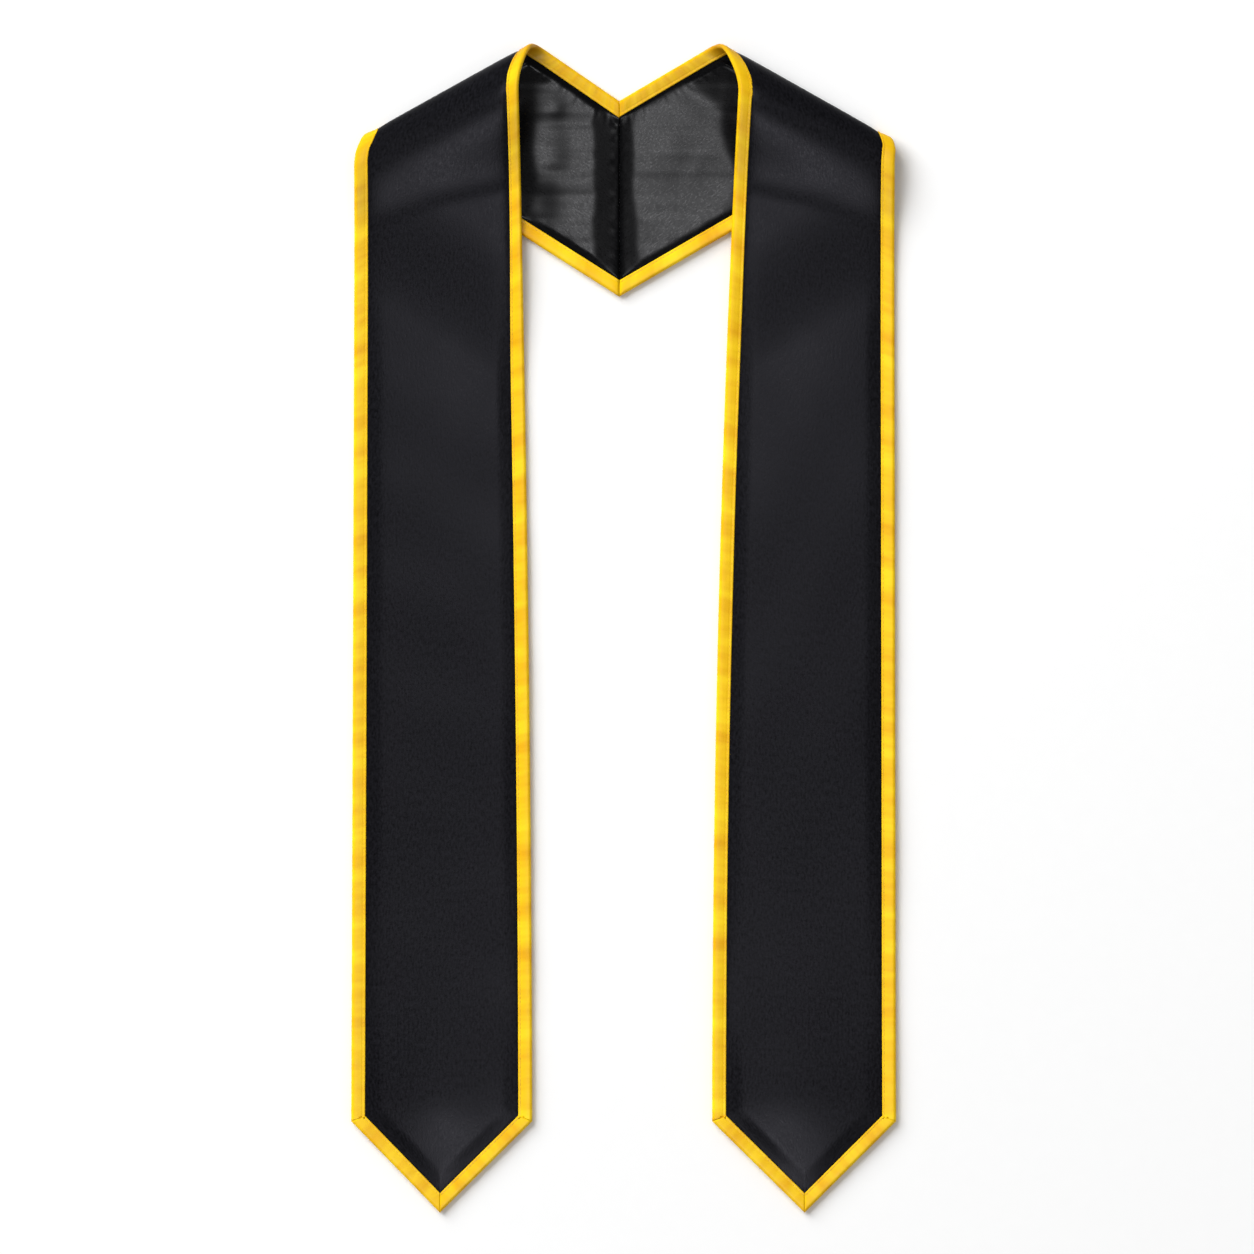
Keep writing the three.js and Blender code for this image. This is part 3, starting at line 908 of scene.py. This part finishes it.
def spun_thread(name, colour):
    """Spun polyester sewing thread: matt, a little deeper than the tape, with a fine twist, drawn
    at 0.5 mm so that it shows."""
    material, tree = new_material(name)
    coords = add_node(tree, "ShaderNodeTexCoord").outputs["Object"]
    twist = add_node(
        tree, "ShaderNodeTexNoise", {"Scale": 1 / (0.5 * MM), "Detail": 1.0}, {"Vector": coords},
    )
    colours = add_node(
        tree, "ShaderNodeMix",
        {
            "data_type": "RGBA", 6: [colour[0] * 0.7, colour[1] * 0.48, 0.0, 1.0],
            7: shade(colour, 0.92),
        },
        {"Factor": twist.outputs["Fac"]},
    )
    shader = add_node(
        tree, "ShaderNodeBsdfPrincipled", {"Roughness": 0.7}, {"Base Color": colours.outputs[2]},
    )
    add_node(tree, "ShaderNodeOutputMaterial", None, {"Surface": shader.outputs[0]})
    return material


def halves(context):
    sizes = context.scene.stole_sizes
    return sizes, [Half(lay, sizes) for lay in LAYS]


class STOLE_OT_satin(Operator):
    """Make the outer satin layer of both halves"""

    bl_idname = "stole.satin"
    bl_label = "Outer satin"

    def execute(self, context):
        sizes, both = halves(context)
        # Woven polyester satin, pressed: a soft bluish sheen that fades slowly across the panel
        material = woven_satin(
            "black satin woven polyester", sizes.satin_colour, "#F2F0FF", 0.35, 0.049, 45 * MM,
            1.7 * MM, 0.22, 0.65,
        )
        for half in both:
            piece = grid_piece(
                f"{half.lay.name}_satin", sum(CLOTH_ROWS), CLOTH_COLUMNS,
                cloth_shape(half, 1), half,
            )
            thicken(piece, SATIN_THICKNESS)
            finish_piece(piece, material, [f"{half.lay.name}_face"])
        return {"FINISHED"}


class STOLE_OT_lining(Operator):
    """Make the lining of both halves, which shows in the back"""

    bl_idname = "stole.lining"
    bl_label = "Lining"

    def execute(self, context):
        sizes, both = halves(context)
        # Lighter, glossier lining satin: sharper changes from light to dark over its soft hollows
        material = woven_satin(
            "black lining satin", sizes.lining_colour, "#FCFCFF", 0.24, 0.048, 24 * MM, 1.3 * MM,
            0.035, 0.65,
        )
        for half in both:
            piece = grid_piece(
                f"{half.lay.name}_lining_cloth", sum(CLOTH_ROWS), CLOTH_COLUMNS,
                cloth_shape(half, -1), half,
            )
            thicken(piece, LINING_THICKNESS)
            finish_piece(piece, material, [f"{half.lay.name}_lining"])
        return {"FINISHED"}


class STOLE_OT_tape(Operator):
    """Bind every edge of both halves with folded satin tape"""

    bl_idname = "stole.tape"
    bl_label = "Tape"

    def execute(self, context):
        sizes, both = halves(context)
        material = satin_tape("yellow satin tape woven polyester", sizes.tape_colour)
        for half in both:
            name = half.lay.name
            sides = (
                ("outer", 0, half.outer_corner, half.neck_corner, half.outer_front, 1),
                ("neck", 1, half.neck_corner, half.outer_corner, half.neck_front, -1),
            )
            for label, edge, corner, other, front, facing in sides:
                last, before = front(np.array([1.0]))[0], front(np.array([0.999]))[0]
                setback = half_turn(last - before, half.tip - corner)
                long_tape = grid_piece(
                    f"{name}_{label}_tape", sum(TAPE_ROWS), TAPE_COLUMNS,
                    tape_shape(half, edge, setback), half,
                )
                part = {"outer": "point_outer", "neck": "point_inner"}[label]
                short_tape = grid_piece(
                    f"{name}_{part}_tape", POINT_TAPE_ROWS, TAPE_COLUMNS,
                    point_tape_shape(half, corner, other, front, facing), half,
                )
                for piece, node, length in (
                    (long_tape, f"{name}_{label}_binding", 0.95),
                    (short_tape, f"{name}_{part}_binding", 0.095),
                ):
                    thicken(piece, TAPE_THICKNESS)
                    finish_piece(piece, material, [node])
        return {"FINISHED"}


class STOLE_OT_stitches(Operator):
    """Sew the tape down with a row of stitches on each side of the cloth"""

    bl_idname = "stole.stitches"
    bl_label = "Stitches"

    def execute(self, context):
        sizes, both = halves(context)
        material = spun_thread("yellow spun polyester thread", sizes.tape_colour)
        for half in both:
            name = f"{half.lay.name}_stitches"
            lines = []
            for side in (1, -1):
                lines += [stitch_line(half, edge, side, sizes) for edge in (0, 1)]
                lines += [
                    point_stitch_line(half, corner, other, facing, side, sizes)
                    for corner, other, facing in (
                        (half.outer_corner, half.neck_corner, 1),
                        (half.neck_corner, half.outer_corner, -1),
                    )
                ]
            bm = bmesh.new()
            add_stitches(
                bm, np.vstack([line[0] for line in lines]), np.vstack([line[1] for line in lines]),
                sizes,
            )
            for face in bm.faces:
                face.smooth = True
            mesh = bpy.data.meshes.new(name)
            bm.to_mesh(mesh)
            bm.free()
            piece = bpy.data.objects.new(name, mesh)
            context.collection.objects.link(piece)
            finish_piece(piece, material, [])
        return {"FINISHED"}


class STOLE_OT_stage(Operator):
    """Set the white surface, the soft lights and the camera that looks straight down"""

    bl_idname = "stole.stage"
    bl_label = "Stage"

    def execute(self, context):
        scene = context.scene
        sizes = scene.stole_sizes
        bm = bmesh.new()
        bmesh.ops.create_grid(bm, x_segments=2, y_segments=2, size=12)
        mesh = bpy.data.meshes.new("stage_floor")
        bm.to_mesh(mesh)
        bm.free()
        floor = bpy.data.objects.new("stage_floor", mesh)
        scene.collection.objects.link(floor)
        material, tree = new_material("white matt board")
        coords = add_node(tree, "ShaderNodeTexCoord").outputs["Object"]
        mottle = add_node(
            tree, "ShaderNodeTexNoise", {"Scale": 1 / (12 * MM), "Detail": 2.0}, {"Vector": coords},
        )
        colours = add_node(
            tree, "ShaderNodeMix",
            {"data_type": "RGBA", 6: shade(sizes.floor_colour, 0.985), 7: list(sizes.floor_colour)},
            {"Factor": mottle.outputs["Fac"]},
        )
        shader = add_node(
            tree, "ShaderNodeBsdfPrincipled", {"Roughness": 0.9, "Specular IOR Level": 0.2},
            {"Base Color": colours.outputs[2]},
        )
        add_node(tree, "ShaderNodeOutputMaterial", None, {"Surface": shader.outputs[0]})
        mesh.materials.append(material)

        world = bpy.data.worlds.new("studio")
        world.use_nodes = True
        world.node_tree.nodes["Background"].inputs["Color"].default_value = (1, 1, 1, 1)
        world.node_tree.nodes["Background"].inputs["Strength"].default_value = 0.43
        scene.world = world
        # The key lights the cloth and the two small panels only give the satin its sheen
        for name, place, aim, size, power, sheen in (
            ("key_softbox", (-5.0, 5.0, 5.2), 0.0, 7.0, 1120, False),
            ("back_panel", (0.0, 0.50, 2.5), 0.3, 0.3, 24.0, True),
            ("front_panel", (0.0, -0.92, 2.0), -0.38, 0.3, 28.0, True),
        ):
            light = bpy.data.lights.new(name, "AREA")
            light.shape, light.size, light.energy = "SQUARE", size, power
            lamp = bpy.data.objects.new(name, light)
            lamp.location = place
            aim_line = Vector((0, aim, 0)) - Vector(place)
            lamp.rotation_euler = aim_line.to_track_quat("-Z", "Y").to_euler()
            lamp.visible_glossy = sheen
            lamp.visible_diffuse = not sheen
            scene.collection.objects.link(lamp)

        # The photograph's frame is 852.7 mm wide on the surface, and its middle lies a little off
        # the stole's
        camera = bpy.data.cameras.new("camera")
        distance, width = 5.0, 0.8527
        camera.sensor_width = 36
        camera.lens = camera.sensor_width * distance / width
        eye = bpy.data.objects.new("camera", camera)
        eye.location = (0.00228, 0.0005, distance)
        scene.collection.objects.link(eye)
        scene.camera = eye
        scene.view_settings.view_transform = "Standard"
        scene.view_settings.look = "None"
        return {"FINISHED"}


class STOLE_PT_panel(Panel):
    """Sidebar panel with the sizes, the colours and the pieces of the stole"""

    bl_label = "Graduation stole"
    bl_idname = "STOLE_PT_panel"
    bl_space_type = "VIEW_3D"
    bl_region_type = "UI"
    bl_category = "Stole"

    def draw(self, context):
        sizes = context.scene.stole_sizes
        for name in StoleSizes.__annotations__:
            self.layout.prop(sizes, name)
        for maker in MAKERS:
            self.layout.operator(maker.bl_idname)


MAKERS = (STOLE_OT_stage, STOLE_OT_satin, STOLE_OT_lining, STOLE_OT_tape, STOLE_OT_stitches)
CLASSES = (StoleSizes, *MAKERS, STOLE_PT_panel)


def register():
    for item in CLASSES:
        bpy.utils.register_class(item)
    bpy.types.Scene.stole_sizes = PointerProperty(type=StoleSizes)


def unregister():
    del bpy.types.Scene.stole_sizes
    for item in reversed(CLASSES):
        bpy.utils.unregister_class(item)


def main():
    register()
    for name in ("stage", "satin", "lining", "tape", "stitches"):
        getattr(bpy.ops.stole, name)()


if __name__ == "__main__":
    main()
